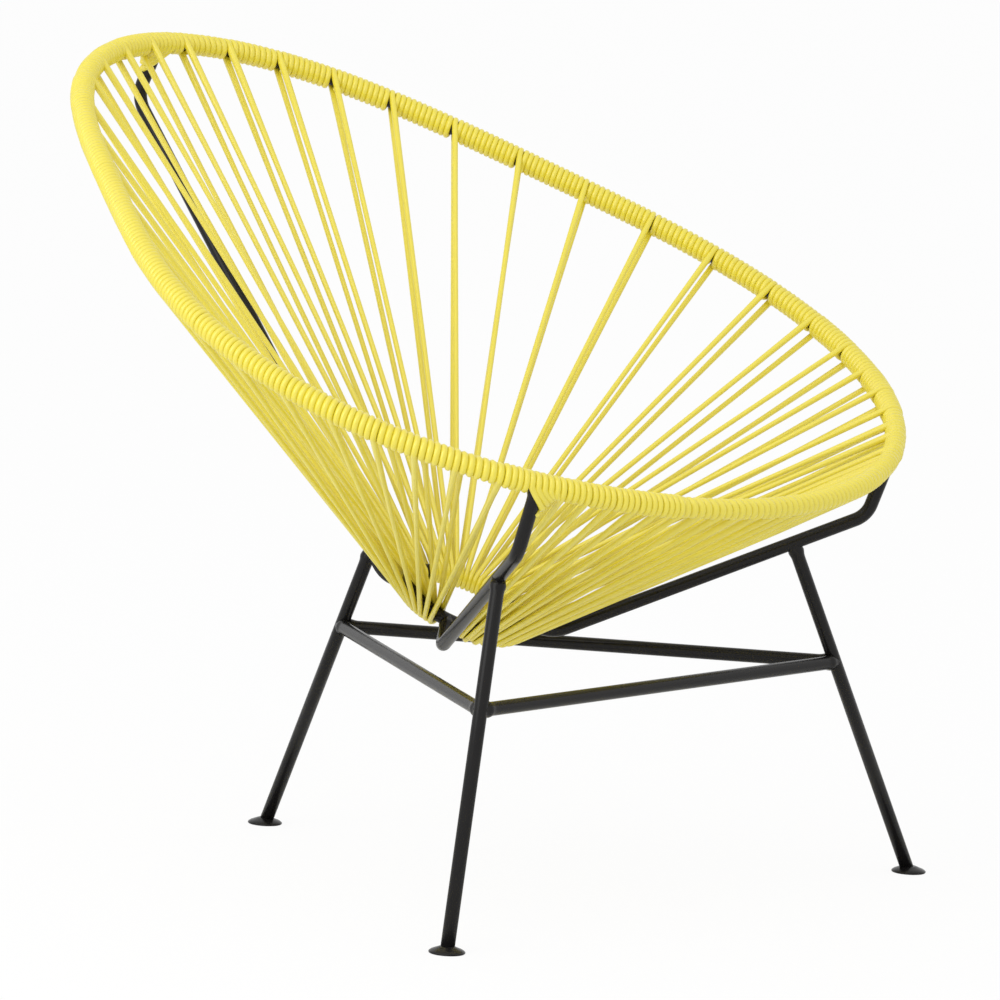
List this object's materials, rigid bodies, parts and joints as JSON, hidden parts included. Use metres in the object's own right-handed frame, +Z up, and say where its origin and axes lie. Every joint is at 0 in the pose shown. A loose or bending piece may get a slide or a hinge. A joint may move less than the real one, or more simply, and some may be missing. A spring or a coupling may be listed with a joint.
{
  "type": "lounge chair",
  "caption": "Round lounge chair: a tilted egg-shaped hoop wound and strung with plastic cord, on a welded rod frame with splayed legs.",
  "frame": {"origin": "on the floor, under the middle of the chair's bounding box", "axes": "+Z up, the chair faces -Y, +X is the sitter's left, and the chair mirrors across X = 0"},
  "size_m": [0.82, 0.8034, 0.7271],
  "materials": {
    "frame_steel": "satin black powder coat",
    "cord_plastic": "soft-gloss yellow PVC cord"
  },
  "bodies": {
    "root": {"hoop_tube": "frame_steel", "seat_ring": "frame_steel", "arm_back": "frame_steel", "arm_left": "frame_steel", "arm_right": "frame_steel", "leg_back": "frame_steel", "leg_left": "frame_steel", "leg_right": "frame_steel", "foot_back": "frame_steel", "foot_left": "frame_steel", "foot_right": "frame_steel", "stretcher_left": "frame_steel", "stretcher_right": "frame_steel", "stretcher_front": "frame_steel", "winding_left": "cord_plastic", "winding_front": "cord_plastic", "winding_right": "cord_plastic", "winding_turns": "cord_plastic", "cord_span_01": "cord_plastic", "cord_span_02": "cord_plastic", "cord_span_03": "cord_plastic", "cord_span_04": "cord_plastic", "cord_span_05": "cord_plastic", "cord_span_06": "cord_plastic", "cord_span_07": "cord_plastic", "cord_span_08": "cord_plastic", "cord_span_09": "cord_plastic", "cord_span_10": "cord_plastic", "cord_span_11": "cord_plastic", "cord_span_12": "cord_plastic", "cord_span_13": "cord_plastic", "cord_span_14": "cord_plastic", "cord_span_15": "cord_plastic", "cord_span_16": "cord_plastic", "cord_span_17": "cord_plastic", "cord_span_18": "cord_plastic", "cord_span_19": "cord_plastic", "cord_span_20": "cord_plastic", "cord_span_21": "cord_plastic", "cord_span_22": "cord_plastic", "cord_span_23": "cord_plastic", "cord_span_24": "cord_plastic", "cord_span_25": "cord_plastic", "cord_span_26": "cord_plastic", "cord_span_27": "cord_plastic", "cord_span_28": "cord_plastic", "cord_span_29": "cord_plastic", "cord_span_30": "cord_plastic", "cord_span_31": "cord_plastic", "cord_span_32": "cord_plastic", "cord_span_33": "cord_plastic", "cord_span_34": "cord_plastic", "cord_span_35": "cord_plastic", "cord_span_36": "cord_plastic", "cord_span_37": "cord_plastic", "cord_span_38": "cord_plastic", "cord_span_39": "cord_plastic", "cord_span_40": "cord_plastic", "cord_span_41": "cord_plastic", "cord_span_42": "cord_plastic"}
  },
  "joints": []
}
